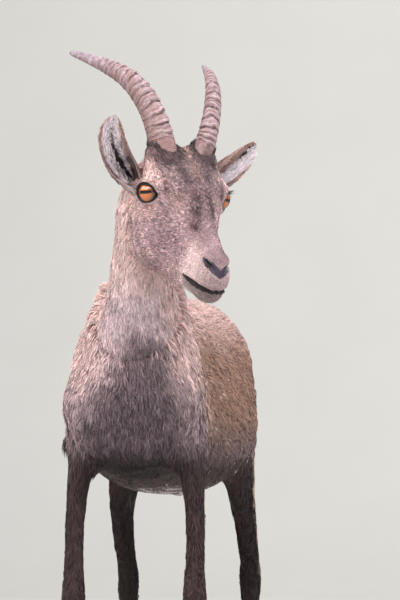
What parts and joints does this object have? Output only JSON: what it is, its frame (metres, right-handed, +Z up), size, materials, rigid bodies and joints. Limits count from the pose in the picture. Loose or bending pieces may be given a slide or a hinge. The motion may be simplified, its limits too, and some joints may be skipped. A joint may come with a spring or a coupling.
{
  "type": "alpine ibex",
  "caption": "Life-size standing female alpine ibex with ridged back-curving horns, cupped ears and cloven hooves, its head turned to its left.",
  "frame": {"origin": "on the floor, under the middle of the animal's bounding box", "axes": "+Z up, -Y the way the body points, +X towards the animal's own left"},
  "size_m": [0.3198, 0.9396, 1.0589],
  "materials": {
    "coat": "short dense grey-brown fur",
    "dark_coat": "short blackish brown fur",
    "horn": "ridged grey-brown horn, satin",
    "hoof": "dark hoof horn, worn satin",
    "eye": "amber iris under a clear wet cornea"
  },
  "bodies": {
    "root": {"torso": "coat", "neck": "coat", "head": "coat", "tail": "dark_coat", "eye_left": "eye", "ear_left": "coat", "horn_left": "horn", "eye_right": "eye", "ear_right": "coat", "horn_right": "horn", "fore_left_forearm": "coat", "fore_left_cannon": "dark_coat", "fore_left_pastern": "dark_coat", "fore_left_hoof_inner": "hoof", "fore_left_dewclaw_inner": "hoof", "fore_left_hoof_outer": "hoof", "fore_left_dewclaw_outer": "hoof", "fore_right_forearm": "coat", "fore_right_cannon": "dark_coat", "fore_right_pastern": "dark_coat", "fore_right_hoof_inner": "hoof", "fore_right_dewclaw_inner": "hoof", "fore_right_hoof_outer": "hoof", "fore_right_dewclaw_outer": "hoof", "hind_left_shank": "coat", "hind_left_cannon": "dark_coat", "hind_left_pastern": "dark_coat", "hind_left_hoof_inner": "hoof", "hind_left_dewclaw_inner": "hoof", "hind_left_hoof_outer": "hoof", "hind_left_dewclaw_outer": "hoof", "hind_right_shank": "coat", "hind_right_cannon": "dark_coat", "hind_right_pastern": "dark_coat", "hind_right_hoof_inner": "hoof", "hind_right_dewclaw_inner": "hoof", "hind_right_hoof_outer": "hoof", "hind_right_dewclaw_outer": "hoof"}
  },
  "joints": []
}
